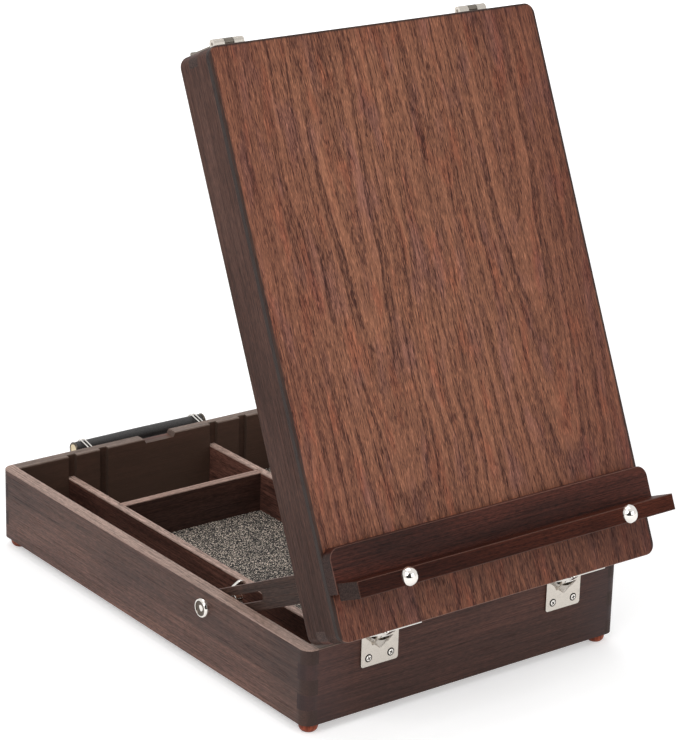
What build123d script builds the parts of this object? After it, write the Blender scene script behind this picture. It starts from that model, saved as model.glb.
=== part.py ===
from build123d import *
import os
from math import atan2, cos, degrees, hypot, radians, sin

# A table-top pochade box: a shallow wooden case whose lid is hinged at the front edge and stands
# open as the easel board. Millimetres, +Z up, front towards -Y. The origin is the middle of the
# case's footprint on the surface that its feet stand on.

# ---------------------------------------------------------------- driving dimensions

# Case and lid
case_width = 265.0
case_length = 380.0
wall_thickness = 9.5
corner_radius = 7.5
edge_round = 0.8
box_wall_height = 53.5
lid_wall_height = 31.2
lid_panel_thickness = 4.0
bottom_panel_thickness = 4.0
bottom_ledge_width = 4.0
liner_thickness = 1.5
box_finger_count = 5
lid_finger_count = 3
finger_notch_width = 28.2
finger_notch_depth = 3.5
finger_notch_slope = 1.7
finger_notch_offset = 0.0
cut_overrun = 1.0

# Feet
foot_diameter = 13.0
foot_height = 7.5
foot_inset = 9.5
foot_round = 3.0

# Dividers in the box
divider_thickness = 6.5
divider_height = 32.0
groove_depth = 3.5
outer_groove_inset = 55.4
inner_groove_inset = 82.9
cross_divider_from_front = 306.5
dado_depth = 2.0

# Lid hinges
lid_open_angle = 66.1
hinge_axis_offset = 4.4
left_hinge_inset = 57.6
right_hinge_inset = 51.0
hinge_width = 30.0
knuckle_radius = 2.2
knuckle_run_width = 13.0
middle_knuckle_width = 7.2
hinge_pin_radius = 1.3
leaf_thickness = 1.2
upper_leaf_thickness = 1.8
lower_leaf_height = 22.3
upper_leaf_height = 24.5
leaf_tongue_height = 9.0
leaf_tongue_shoulder = 1.2
leaf_corner_round = 2.0
swell_height = 11.0
swell_side_margin = 1.0
swell_front_gap = 1.1
swell_tip_scale = 0.04
scoop_width = 21.0
scoop_depth = 4.0
hinge_screw_spacing = 18.0
hinge_screw_edge = 5.8

# Small countersunk screws of the hinges, catches and handle brackets
screw_head_radius = 2.5
screw_head_height = 1.3
screw_head_proud = 0.5
screw_shank_radius = 1.3
screw_length = 7.0

# Ledge on the lid
ledge_plate_thickness = 9.0
ledge_plate_bottom = 31.5
ledge_plate_top = 60.0
ledge_plate_corner = 7.5
ledge_bar_depth = 22.0
ledge_bar_bottom = 27.4
ledge_bar_top = 38.3
ledge_bar_inset = 1.0
ledge_edge_round = 0.9
ledge_bolt_inset = 40.6
ledge_dome_radius = 6.2
ledge_dome_height = 4.6
ledge_bolt_radius = 3.0
ledge_insert_radius = 5.0
ledge_insert_flange_radius = 8.0
ledge_insert_flange = 1.4
ledge_insert_height = 7.0

# Struts and their clamps
strut_bolt_from_front = 116.0
strut_bolt_below_rim = 12.9
strut_pivot_from_front = 37.2
strut_pivot_above_rim = 14.0
strut_width = 18.5
strut_thickness = 5.0
strut_slot_width = 6.6
strut_slot_start = 73.5
strut_slot_end = 141.5
strut_end_margin = 1.0
strut_pivot_hole_radius = 2.3
strut_bolt_radius = 3.0
strut_bolt_end = 30.0
bolt_dome_radius = 7.0
bolt_dome_height = 3.2
washer_radius = 8.0
washer_thickness = 1.0
wing_nut_hub_radius = 5.6
wing_nut_hub_top_radius = 4.6
wing_nut_hub_height = 7.5
wing_span = 25.0
wing_reach = 17.5
wing_thickness = 2.4
wing_root_height = 2.6
wing_root_radius = 3.6
wing_shoulder_radius = 6.2
wing_tip_width = 6.0
wing_tip_depth = 5.0
wing_tip_round = 2.2
pivot_screw_head_radius = 4.6
pivot_screw_head_height = 2.4
pivot_screw_head_round = 1.2

# Latches on the rear: a hasp on the lid that drops over a catch on the box
left_latch_inset = 36.0
right_latch_inset = 29.0
catch_width = 23.0
catch_height = 19.0
catch_plate_thickness = 1.2
catch_below_rim = 1.2
catch_nose_width = 11.0
catch_nose_height = 5.0
catch_nose_depth = 2.0
catch_nose_land = 1.2
catch_nose_lead = 1.8
catch_nose_below_rim = 9.0
catch_corner_round = 1.5
catch_screw_spacing = 14.0
catch_screw_edge = 3.6
latch_plate_width = 23.0
latch_plate_height = 15.0
latch_plate_above_rim = 1.6
latch_corner_round = 2.0
latch_screw_spacing = 12.0
latch_screw_edge = 3.8
hasp_pin_above_rim = 4.6
hasp_pin_offset = 5.4
hasp_pin_radius = 1.1
hasp_barrel_radius = 3.0
hasp_width = latch_plate_width
hasp_thickness = 1.2
hasp_flap_offset = 3.6
hasp_reach = 25.6
hasp_curl_radius = 1.6
latch_knuckle_width = 7.8
hasp_window_side_gap = 0.6
hasp_window_end_gap = 1.0

# Handle on the rear wall
handle_above_bottom = 43.5
handle_pin_offset = 7.4
handle_pin_radius = 1.6
handle_arm = 16.1
grip_radius = 5.5
grip_length = 118.0
grip_cap_thickness = 1.6
grip_cap_round = 1.0
loop_from_grip_end = 8.5
handle_offset = 2.4
loop_width = 4.2
loop_thickness = 1.1
bracket_width = 24.0
bracket_height = 15.0
bracket_thickness = 1.5
bracket_corner_round = 3.0
bracket_ear_thickness = 1.6
bracket_ear_wall = 1.4
bracket_screw_spacing = 16.0

# Named clearances
running_gap = 0.3
fit_gap = 0.05

# ---------------------------------------------------------------- derived places

x_side = case_width / 2
y_end = case_length / 2
x_inner = x_side - wall_thickness
y_inner = y_end - wall_thickness
z_base = foot_height
z_rim = z_base + box_wall_height
z_lid = z_rim + running_gap
z_lid_panel = z_lid + lid_wall_height
z_lid_top = z_lid_panel + lid_panel_thickness
z_liner = z_base + bottom_panel_thickness
z_floor = z_liner + liner_thickness

hinge_y = -y_end - hinge_axis_offset
hinge_z = z_rim + running_gap / 2
hinge_centres = (-x_side + left_hinge_inset, x_side - right_hinge_inset)
latch_centres = (-x_side + left_latch_inset, x_side - right_latch_inset)

bolt_y = -y_end + strut_bolt_from_front
bolt_z = z_rim - strut_bolt_below_rim


def opened(shape):
    """Swing a shape of the closed lid about the hinge pins to the open easel position."""
    hinge_line = Axis((0, hinge_y, hinge_z), (1, 0, 0))
    return shape.rotate(hinge_line, lid_open_angle)


# ---------------------------------------------------------------- building blocks

def block(x_range, y_range, z_range):
    """A box between two limits on each axis."""
    size = [limits[1] - limits[0] for limits in (x_range, y_range, z_range)]
    corner = Pos(x_range[0], y_range[0], z_range[0])
    return corner * Box(*size, align=(Align.MIN, Align.MIN, Align.MIN))


def rod(start, direction, length, radius, end_radius=None):
    """A round bar, or a cone where an end radius is given, from a point along a direction."""
    place = Plane(origin=start, z_dir=direction)
    lift = (Align.CENTER, Align.CENTER, Align.MIN)
    if end_radius is None:
        return place * Cylinder(radius, length, align=lift)
    return place * Cone(radius, end_radius, length, align=lift)


def prism_x(points, x_range):
    """A solid of constant section: the outline in Y and Z, carried along X."""
    outline = Plane.YZ.offset(x_range[0]) * Polygon(*points, align=None)
    return extrude(outline, amount=x_range[1] - x_range[0], dir=(1, 0, 0))


def prism_y(points, y_range):
    """A solid of constant section: the outline in X and Z, carried along Y."""
    outline = Plane.XZ.offset(-y_range[0]) * Polygon(*points, align=None)
    return extrude(outline, amount=y_range[1] - y_range[0], dir=(0, 1, 0))


def dome(centre, direction, radius, height):
    """A rounded screw head: the cap of a sphere, standing on a point along a direction."""
    sphere_radius = (radius ** 2 + height ** 2) / (2 * height)
    place = Plane(origin=centre, z_dir=direction)
    ball = Pos(0, 0, height - sphere_radius) * Sphere(sphere_radius)
    keep = Cylinder(2 * radius, height, align=(Align.CENTER, Align.CENTER, Align.MIN))
    return place * (ball & keep)


def countersunk_screw(seat, outward):
    """A small wood screw whose head lies in a plate, a little proud of the plate's face."""
    outward = Vector(*outward)
    seat = Vector(*seat)
    crown = dome(seat, outward, screw_head_radius, screw_head_proud)
    taper = rod(seat, -outward, screw_head_height, screw_head_radius, screw_shank_radius)
    shank = rod(seat, -outward, screw_length, screw_shank_radius)
    return crown + taper + shank


def mirrored(shape):
    """The same piece on the other side of the case."""
    return mirror(shape, about=Plane.YZ)


# ---------------------------------------------------------------- walls of the box and the lid

def wall_frame(z_bottom, height, finger_count, round_top):
    """Four walls with finger joints at rounded corners: left, right, front and rear."""
    outline = RectangleRounded(case_width, case_length, corner_radius)
    ring = Pos(0, 0, z_bottom) * extrude(outline, amount=height)
    ring = ring - block((-x_inner, x_inner), (-y_inner, y_inner), (z_bottom, z_bottom + height))
    rim_edges = ring.edges().group_by(Axis.Z)[-1 if round_top else 0]
    ring = fillet(rim_edges, edge_round)

    finger_height = height / finger_count
    end_fingers = {}
    for y_sign in (-1, 1):
        y_limits = sorted((y_sign * y_inner, y_sign * y_end))
        end_wall = block((-x_inner, x_inner), y_limits, (z_bottom, z_bottom + height))
        for finger in range(1, finger_count, 2):
            z_low = z_bottom + finger * finger_height
            end_wall += block((-x_side, x_side), y_limits, (z_low, z_low + finger_height))
        end_fingers[y_sign] = end_wall

    front = ring & end_fingers[-1]
    rear = ring & end_fingers[1]
    sides = ring - end_fingers[-1] - end_fingers[1]
    left = sides & block((-x_side, 0), (-y_end, y_end), (z_bottom, z_bottom + height))
    right = sides & block((0, x_side), (-y_end, y_end), (z_bottom, z_bottom + height))
    return left, right, front, rear


def divider_grooves():
    """The upright grooves in the front and rear walls that the long dividers slide into."""
    half = divider_thickness / 2 + running_gap
    reach = y_inner + groove_depth
    cutters = []
    for inset in (outer_groove_inset, inner_groove_inset):
        for x_centre in (-x_side + inset, x_side - inset):
            x_limits = (x_centre - half, x_centre + half)
            cutters.append(block(x_limits, (-reach, reach), (z_liner, z_rim + edge_round)))
    return cutters


def finger_notch():
    """The shallow scoop in the rear rim where a finger lifts the closed lid."""
    x_left = finger_notch_offset - finger_notch_width / 2
    x_right = finger_notch_offset + finger_notch_width / 2
    z_low = z_rim - finger_notch_depth
    points = [
        (x_left, z_rim + cut_overrun),
        (x_left, z_rim),
        (x_left + finger_notch_slope, z_low),
        (x_right - finger_notch_slope, z_low),
        (x_right, z_rim),
        (x_right, z_rim + cut_overrun),
    ]
    return prism_y(points, (y_inner - cut_overrun, y_end + cut_overrun))


def bottom_panel():
    """The floor board, let into a ledge around the bottom of the walls."""
    x_half = x_inner + bottom_ledge_width
    y_half = y_inner + bottom_ledge_width
    return block((-x_half, x_half), (-y_half, y_half), (z_base, z_base + bottom_panel_thickness))


def floor_liner():
    """The speckled sheet that covers the floor board inside the walls."""
    x_half = x_inner - running_gap
    y_half = y_inner - running_gap
    return block((-x_half, x_half), (-y_half, y_half), (z_liner, z_floor))


def foot(x_centre, y_centre):
    """A turned wooden button glued under a corner, rounded where it meets the table."""
    button = Pos(x_centre, y_centre, foot_height / 2) * Cylinder(foot_diameter / 2, foot_height)
    return fillet(button.edges().group_by(Axis.Z)[0], foot_round)


def feet():
    """Four feet, one under each corner."""
    x_foot = x_side - foot_inset
    y_foot = y_end - foot_inset
    return [foot(x_sign * x_foot, y_sign * y_foot) for x_sign in (-1, 1) for y_sign in (-1, 1)]


# ---------------------------------------------------------------- dividers

def long_divider(x_centre, dado_side):
    """A thin board from groove to groove, with a dado for the cross divider in one face."""
    half = divider_thickness / 2
    reach = y_inner + groove_depth - running_gap
    z_limits = (z_floor + fit_gap, z_floor + fit_gap + divider_height - liner_thickness)
    board = block((x_centre - half, x_centre + half), (-reach, reach), z_limits)
    board = fillet(board.edges().filter_by(Axis.Y).group_by(Axis.Z)[-1], edge_round)
    y_cross = -y_end + cross_divider_from_front
    y_limits = (y_cross - half - running_gap, y_cross + half + running_gap)
    face = x_centre + dado_side * half
    x_limits = sorted((face, face - dado_side * dado_depth))
    return board - block(x_limits, y_limits, z_limits)


def cross_divider(x_left, x_right):
    """The short board between the two long dividers, let into their dados."""
    half = divider_thickness / 2
    y_cross = -y_end + cross_divider_from_front
    x_limits = (
        x_left + half - dado_depth + running_gap,
        x_right - half + dado_depth - running_gap,
    )
    z_limits = (z_floor + fit_gap, z_floor + fit_gap + divider_height - liner_thickness)
    board = block(x_limits, (y_cross - half, y_cross + half), z_limits)
    return fillet(board.edges().filter_by(Axis.X).group_by(Axis.Z)[-1], edge_round)


# ---------------------------------------------------------------- lid hinges

def leaf_swell(x_centre, up):
    """The hollow swelling that rises from a leaf to cover the knuckles, scooped out at its rim."""
    y_face = -y_end - leaf_thickness
    half_width = hinge_width / 2 - swell_side_margin
    depth = hinge_axis_offset + knuckle_radius + swell_front_gap - leaf_thickness
    rim_radius = (half_width ** 2 + depth ** 2) / (2 * depth)
    z_start = hinge_z + up * running_gap / 2

    def swelling(y_shift):
        rim_y = y_face - depth + rim_radius + y_shift
        tip_y = y_face + y_shift
        rim = Pos(x_centre, rim_y, z_start) * Circle(rim_radius)
        tip = Pos(x_centre, tip_y, hinge_z + up * swell_height) * Circle(rim_radius * swell_tip_scale)
        return loft([rim, tip], ruled=True)

    in_front = block(
        (x_centre - half_width, x_centre + half_width),
        (y_face - depth, y_face + fit_gap),
        sorted((z_start, hinge_z + up * swell_height)),
    )
    shell = (swelling(0) - swelling(leaf_thickness)) & in_front
    scoop_radius = ((scoop_width / 2) ** 2 + scoop_depth ** 2) / (2 * scoop_depth)
    scoop_z = hinge_z - up * (scoop_radius - scoop_depth)
    scoop_start = (x_centre, y_face - depth - cut_overrun, scoop_z)
    return shell - rod(scoop_start, (0, 1, 0), depth + cut_overrun, scoop_radius)


def leaf(x_centre, up, height, thickness, knuckle_ranges):
    """One leaf of a case hinge in the closed position: plate, swelling, tongues and knuckles."""
    y_face = -y_end
    x_limits = (x_centre - hinge_width / 2, x_centre + hinge_width / 2)
    z_far = hinge_z + up * height
    plate_z = sorted((z_far, hinge_z + up * running_gap / 2))
    plate = block(x_limits, (y_face - thickness, y_face), plate_z)
    corners = plate.edges().filter_by(Axis.Y)
    far_corners = corners.group_by(Axis.Z)[0 if up < 0 else -1]
    body = fillet(far_corners, leaf_corner_round) + leaf_swell(x_centre, up)

    front_of_knuckle = hinge_y - knuckle_radius
    tongue = [
        (y_face - leaf_thickness / 2, hinge_z + up * leaf_tongue_height),
        (front_of_knuckle, hinge_z + up * leaf_tongue_shoulder),
        (front_of_knuckle, hinge_z),
        (hinge_y, hinge_z),
        (y_face - leaf_thickness / 2, hinge_z + up * knuckle_radius),
    ]
    for x_start, x_end in knuckle_ranges:
        barrel = rod((x_start, hinge_y, hinge_z), (1, 0, 0), x_end - x_start, knuckle_radius)
        body = body + prism_x(tongue, (x_start, x_end)) + barrel
    start = (x_centre - knuckle_run_width / 2, hinge_y, hinge_z)
    return body - rod(start, (1, 0, 0), knuckle_run_width, hinge_pin_radius + fit_gap)


def hinge_screws(x_centre, up, height, thickness):
    """The two screws of one leaf, near its free edge."""
    z_screw = hinge_z + up * (height - hinge_screw_edge)
    seat_y = -y_end - thickness
    offsets = (-hinge_screw_spacing / 2, hinge_screw_spacing / 2)
    return [countersunk_screw((x_centre + dx, seat_y, z_screw), (0, -1, 0)) for dx in offsets]


def knuckle_split(x_centre):
    """Where the outer and the middle knuckles lie along the pin."""
    half_run = knuckle_run_width / 2
    half_middle = middle_knuckle_width / 2
    middle = [(x_centre - half_middle, x_centre + half_middle)]
    outer = [
        (x_centre - half_run, x_centre - half_middle - running_gap),
        (x_centre + half_middle + running_gap, x_centre + half_run),
    ]
    return outer, middle


def hinge_pin(x_centre):
    """The pin, held in the outer knuckles of the lower leaf."""
    start = (x_centre - knuckle_run_width / 2, hinge_y, hinge_z)
    return rod(start, (1, 0, 0), knuckle_run_width, hinge_pin_radius)


# ---------------------------------------------------------------- ledge on the lid

def ledge_plate():
    """The board that lies on the lid's face behind the shelf, with rounded top corners."""
    y_limits = (-y_end + ledge_plate_bottom, -y_end + ledge_plate_top)
    z_limits = (z_lid_top, z_lid_top + ledge_plate_thickness)
    board = block((-x_side, x_side), y_limits, z_limits)
    top_corners = board.edges().filter_by(Axis.Z).group_by(Axis.Y)[-1]
    board = fillet(top_corners, ledge_plate_corner)
    face_edges = board.faces().sort_by(Axis.Z)[-1].edges()
    return fillet(face_edges, ledge_edge_round)


def ledge_bar():
    """The shelf that a canvas or a pad stands on, along the foot of the plate."""
    x_half = x_side - ledge_bar_inset
    y_limits = (-y_end + ledge_bar_bottom, -y_end + ledge_bar_top)
    z_low = z_lid_top + ledge_plate_thickness
    bar = block((-x_half, x_half), y_limits, (z_low, z_low + ledge_bar_depth))
    front_edges = bar.faces().sort_by(Axis.Z)[-1].edges()
    return fillet(front_edges, ledge_edge_round)


def ledge_bolt(x_centre):
    """A dome-headed bolt through the bar, the plate and the lid's board."""
    y_centre = -y_end + (ledge_bar_bottom + ledge_bar_top) / 2
    z_head = z_lid_top + ledge_plate_thickness + ledge_bar_depth
    head = dome((x_centre, y_centre, z_head), (0, 0, 1), ledge_dome_radius, ledge_dome_height)
    z_tip = z_lid_panel - ledge_insert_flange - ledge_insert_height / 2
    return head + rod((x_centre, y_centre, z_tip), (0, 0, 1), z_head - z_tip, ledge_bolt_radius)


def ledge_insert(x_centre):
    """A flanged threaded insert on the inner face of the lid's board, gripped by the bolt."""
    y_centre = -y_end + (ledge_bar_bottom + ledge_bar_top) / 2
    z_flange = z_lid_panel - ledge_insert_flange
    down = (0, 0, -1)
    base = (x_centre, y_centre, z_lid_panel)
    flange = rod(base, down, ledge_insert_flange, ledge_insert_flange_radius)
    neck = rod((x_centre, y_centre, z_flange), down, ledge_insert_height, ledge_insert_radius)
    return flange + neck - rod(base, down, ledge_insert_flange + ledge_insert_height, ledge_bolt_radius)


# ---------------------------------------------------------------- struts and clamps (left side)

def pivot_point():
    """The strut's pivot on the lid's side wall, in the open position: (y, z)."""
    arm_y = -y_end + strut_pivot_from_front - hinge_y
    arm_z = z_lid + strut_pivot_above_rim - hinge_z
    turn = radians(lid_open_angle)
    y_point = hinge_y + arm_y * cos(turn) - arm_z * sin(turn)
    z_point = hinge_z + arm_y * sin(turn) + arm_z * cos(turn)
    return y_point, z_point


pivot_y, pivot_z = pivot_point()
strut_angle = degrees(atan2(bolt_z - pivot_z, bolt_y - pivot_y))
strut_reach = hypot(bolt_z - pivot_z, bolt_y - pivot_y)
strut_x = -x_inner + running_gap
washer_x = strut_x + strut_thickness + running_gap
wing_nut_x = washer_x + washer_thickness + running_gap


def strut():
    """A flat slotted arm from the lid's side wall to the clamp bolt on the box's side wall."""
    end_centre = strut_slot_end + strut_end_margin
    half = strut_width / 2
    plate = Pos(end_centre / 2, 0) * SlotCenterToCenter(end_centre, strut_width)
    slot_length = strut_slot_end - strut_slot_start
    slot_middle = (strut_slot_end + strut_slot_start) / 2
    plate = plate - Pos(slot_middle, 0) * SlotCenterToCenter(slot_length, strut_slot_width)
    plate = plate - Circle(strut_pivot_hole_radius)
    place = Plane(origin=(strut_x, pivot_y, pivot_z), x_dir=(0, 1, 0), z_dir=(1, 0, 0))
    return extrude(place * Rot(0, 0, strut_angle) * plate, amount=strut_thickness)


def strut_pivot_screw():
    """The pan-headed screw on which the strut turns at the lid."""
    start = (-x_inner + running_gap, pivot_y, pivot_z)
    shank = rod(start, (1, 0, 0), strut_thickness, strut_pivot_hole_radius - fit_gap)
    seat = (strut_x + strut_thickness, pivot_y, pivot_z)
    head = rod(seat, (1, 0, 0), pivot_screw_head_height, pivot_screw_head_radius)
    head = fillet(head.edges().sort_by(Axis.X)[-1], pivot_screw_head_round)
    return shank + head


def strut_bolt():
    """A mushroom-headed bolt through the side wall, its head outside and its thread inside."""
    head = dome((-x_side, bolt_y, bolt_z), (-1, 0, 0), bolt_dome_radius, bolt_dome_height)
    shank = rod((-x_side, bolt_y, bolt_z), (1, 0, 0), strut_bolt_end, strut_bolt_radius)
    return head + shank


def strut_washer():
    """The flat washer between the strut and the wing nut."""
    start = (washer_x, bolt_y, bolt_z)
    disc = rod(start, (1, 0, 0), washer_thickness, washer_radius)
    return disc - rod(start, (1, 0, 0), washer_thickness, strut_bolt_radius + fit_gap)


def wing_nut():
    """A hub with two rounded wings that flare away from the strut."""
    start = (wing_nut_x, bolt_y, bolt_z)
    hub = rod(start, (1, 0, 0), wing_nut_hub_height, wing_nut_hub_radius, wing_nut_hub_top_radius)
    base_x = wing_nut_x + wing_root_height
    tip_x = wing_nut_x + wing_reach
    half_span = wing_span / 2
    wing_outline = [
        (base_x, wing_root_radius),
        (base_x, wing_shoulder_radius),
        (tip_x - wing_tip_width, half_span),
        (tip_x, half_span),
        (tip_x, half_span - wing_tip_depth),
        (wing_nut_x + wing_nut_hub_height, wing_root_radius),
    ]
    nut = hub
    for z_sign in (-1, 1):
        points = [(x, z_sign * z + bolt_z) for x, z in wing_outline]
        wing = prism_y(points, (bolt_y - wing_thickness / 2, bolt_y + wing_thickness / 2))
        tips = wing.edges().filter_by(Axis.Y).group_by(Axis.X)[-1]
        nut += fillet(tips, wing_tip_round)
    return nut - rod(start, (1, 0, 0), wing_nut_hub_height, strut_bolt_radius + fit_gap)


# ---------------------------------------------------------------- latches

def catch_plate(x_centre):
    """The plate on the box's rear wall with a nose that the hasp drops over."""
    z_top = z_rim - catch_below_rim
    x_limits = (x_centre - catch_width / 2, x_centre + catch_width / 2)
    plate = block(x_limits, (y_end, y_end + catch_plate_thickness), (z_top - catch_height, z_top))
    plate = fillet(plate.edges().filter_by(Axis.Y), catch_corner_round)
    nose_top = z_rim - catch_nose_below_rim
    y_face = y_end + catch_plate_thickness
    section = [
        (y_face, nose_top),
        (y_face + catch_nose_land, nose_top),
        (y_face + catch_nose_depth, nose_top - catch_nose_lead),
        (y_face, nose_top - catch_nose_height),
    ]
    half_nose = catch_nose_width / 2
    return plate + prism_x(section, (x_centre - half_nose, x_centre + half_nose))


def catch_screws(x_centre):
    """The two screws of a catch plate, below its nose."""
    z_screw = z_rim - catch_below_rim - catch_height + catch_screw_edge
    seat_y = y_end + catch_plate_thickness
    offsets = (-catch_screw_spacing / 2, catch_screw_spacing / 2)
    return [countersunk_screw((x_centre + dx, seat_y, z_screw), (0, 1, 0)) for dx in offsets]


def latch_knuckles(x_centre):
    """The ranges along X of the two ears that hold the hasp's pin."""
    half = latch_plate_width / 2
    return [
        (x_centre - half, x_centre - half + latch_knuckle_width),
        (x_centre + half - latch_knuckle_width, x_centre + half),
    ]


hasp_pin_y = y_end + hasp_pin_offset
hasp_pin_z = z_lid + hasp_pin_above_rim


def latch_plate(x_centre):
    """The plate on the lid's rear wall, with two ears for the hasp's pin."""
    z_low = z_lid + latch_plate_above_rim
    x_limits = (x_centre - latch_plate_width / 2, x_centre + latch_plate_width / 2)
    y_limits = (y_end, y_end + catch_plate_thickness)
    plate = block(x_limits, y_limits, (z_low, z_low + latch_plate_height))
    plate = fillet(plate.edges().filter_by(Axis.Y).group_by(Axis.Z)[-1], latch_corner_round)
    for x_start, x_end in latch_knuckles(x_centre):
        ear = rod((x_start, hasp_pin_y, hasp_pin_z), (1, 0, 0), x_end - x_start, hasp_barrel_radius)
        web_z = (hasp_pin_z - hasp_barrel_radius, hasp_pin_z + hasp_barrel_radius)
        plate += ear + block((x_start, x_end), (y_end, hasp_pin_y), web_z)
    start = (x_limits[0], hasp_pin_y, hasp_pin_z)
    return plate - rod(start, (1, 0, 0), latch_plate_width, hasp_pin_radius)


def latch_screws(x_centre):
    """The two screws of a latch plate, above its ears."""
    z_screw = z_lid + latch_plate_above_rim + latch_plate_height - latch_screw_edge
    seat_y = y_end + catch_plate_thickness
    offsets = (-latch_screw_spacing / 2, latch_screw_spacing / 2)
    return [countersunk_screw((x_centre + dx, seat_y, z_screw), (0, 1, 0)) for dx in offsets]


def hasp_pin(x_centre):
    """The pin through the ears of a latch plate."""
    start = (x_centre - latch_plate_width / 2, hasp_pin_y, hasp_pin_z)
    return rod(start, (1, 0, 0), latch_plate_width, hasp_pin_radius)


def hasp(x_centre):
    """The flap that hangs from the pin over the catch, with a window for the catch's nose."""
    half_knuckle = latch_plate_width / 2 - latch_knuckle_width - running_gap
    barrel_x = (x_centre - half_knuckle, x_centre + half_knuckle)
    barrel = rod((barrel_x[0], hasp_pin_y, hasp_pin_z), (1, 0, 0), 2 * half_knuckle, hasp_barrel_radius)
    flap_y = (y_end + hasp_flap_offset, y_end + hasp_flap_offset + hasp_thickness)
    z_tip = hasp_pin_z - hasp_reach
    z_shoulder = hasp_pin_z - hasp_barrel_radius - running_gap
    neck = block(barrel_x, flap_y, (z_shoulder, hasp_pin_z))
    half_width = hasp_width / 2
    flap = block((x_centre - half_width, x_centre + half_width), flap_y, (z_tip, z_shoulder))
    curl_start = (x_centre - half_width, sum(flap_y) / 2, z_tip)
    curl = rod(curl_start, (1, 0, 0), hasp_width, hasp_curl_radius)
    half_window = catch_nose_width / 2 + hasp_window_side_gap
    nose_top = z_rim - catch_nose_below_rim
    window_z = (nose_top - catch_nose_height - hasp_window_end_gap, nose_top + hasp_window_end_gap)
    window = block((x_centre - half_window, x_centre + half_window), flap_y, window_z)
    bore = rod((barrel_x[0], hasp_pin_y, hasp_pin_z), (1, 0, 0), 2 * half_knuckle, hasp_pin_radius + fit_gap)
    return barrel + neck + flap + curl - window - bore


# ---------------------------------------------------------------- handle

handle_z = z_base + handle_above_bottom
handle_pin_y = y_end + handle_pin_offset
grip_y = handle_pin_y + handle_arm
half_loop_spacing = grip_length / 2 - loop_from_grip_end
loop_centres = (handle_offset - half_loop_spacing, handle_offset + half_loop_spacing)


def handle_bracket(x_centre):
    """A screwed plate on the rear wall with two ears that hold the handle's pin."""
    half = bracket_width / 2
    z_limits = (handle_z - bracket_height / 2, handle_z + bracket_height / 2)
    y_limits = (y_end, y_end + bracket_thickness)
    plate = block((x_centre - half, x_centre + half), y_limits, z_limits)
    plate = fillet(plate.edges().filter_by(Axis.Y), bracket_corner_round)
    ear_start = loop_width / 2 + running_gap
    ear_radius = handle_pin_radius + bracket_ear_wall
    for side in (-1, 1):
        ear_end = ear_start + bracket_ear_thickness
        x_limits = sorted((x_centre + side * ear_start, x_centre + side * ear_end))
        ear = rod((x_limits[0], handle_pin_y, handle_z), (1, 0, 0), bracket_ear_thickness, ear_radius)
        web = block(x_limits, (y_end, handle_pin_y), (handle_z - ear_radius, handle_z + ear_radius))
        plate += ear + web
    start = (x_centre - half, handle_pin_y, handle_z)
    return plate - rod(start, (1, 0, 0), bracket_width, handle_pin_radius)


def handle_pin(x_centre):
    """The short pin through a bracket's ears, on which the handle's loop swings."""
    half = loop_width / 2 + running_gap + bracket_ear_thickness
    return rod((x_centre - half, handle_pin_y, handle_z), (1, 0, 0), 2 * half, handle_pin_radius)


def bracket_screws(x_centre):
    """The two screws of a handle bracket, one on each side of its ears."""
    seat_y = y_end + bracket_thickness
    offsets = (-bracket_screw_spacing / 2, bracket_screw_spacing / 2)
    return [countersunk_screw((x_centre + dx, seat_y, handle_z), (0, 1, 0)) for dx in offsets]


def handle_loop(x_centre):
    """A flat metal loop from the bracket's pin around the grip."""
    x_start = x_centre - loop_width / 2
    pin_hole = handle_pin_radius + fit_gap
    near = (handle_pin_y, handle_z)
    far = (grip_y, handle_z)

    def hull(near_radius, far_radius):
        near_disc = Pos(*near) * Circle(near_radius)
        far_disc = Pos(*far) * Circle(far_radius)
        return make_hull((near_disc + far_disc).edges())

    band = hull(pin_hole + loop_thickness, grip_radius + loop_thickness)
    band = band - hull(pin_hole, grip_radius)
    return extrude(Plane.YZ.offset(x_start) * band, amount=loop_width)


def handle_grip():
    """The padded roll that the hand holds."""
    length = grip_length - 2 * grip_cap_thickness
    return rod((handle_offset - length / 2, grip_y, handle_z), (1, 0, 0), length, grip_radius)


def grip_caps():
    """The metal caps on the ends of the roll."""
    caps = []
    for side in (-1, 1):
        x_end = handle_offset + side * grip_length / 2
        cap = rod((x_end, grip_y, handle_z), (-side, 0, 0), grip_cap_thickness, grip_radius)
        outer = cap.edges().group_by(Axis.X)[0 if side < 0 else -1]
        caps.append(fillet(outer, grip_cap_round))
    return caps


# ---------------------------------------------------------------- assembly

def drill(shape, tools):
    """Cut the seats and pilot holes of fasteners out of a piece."""
    for tool in tools:
        shape = shape - tool
    return shape


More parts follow.
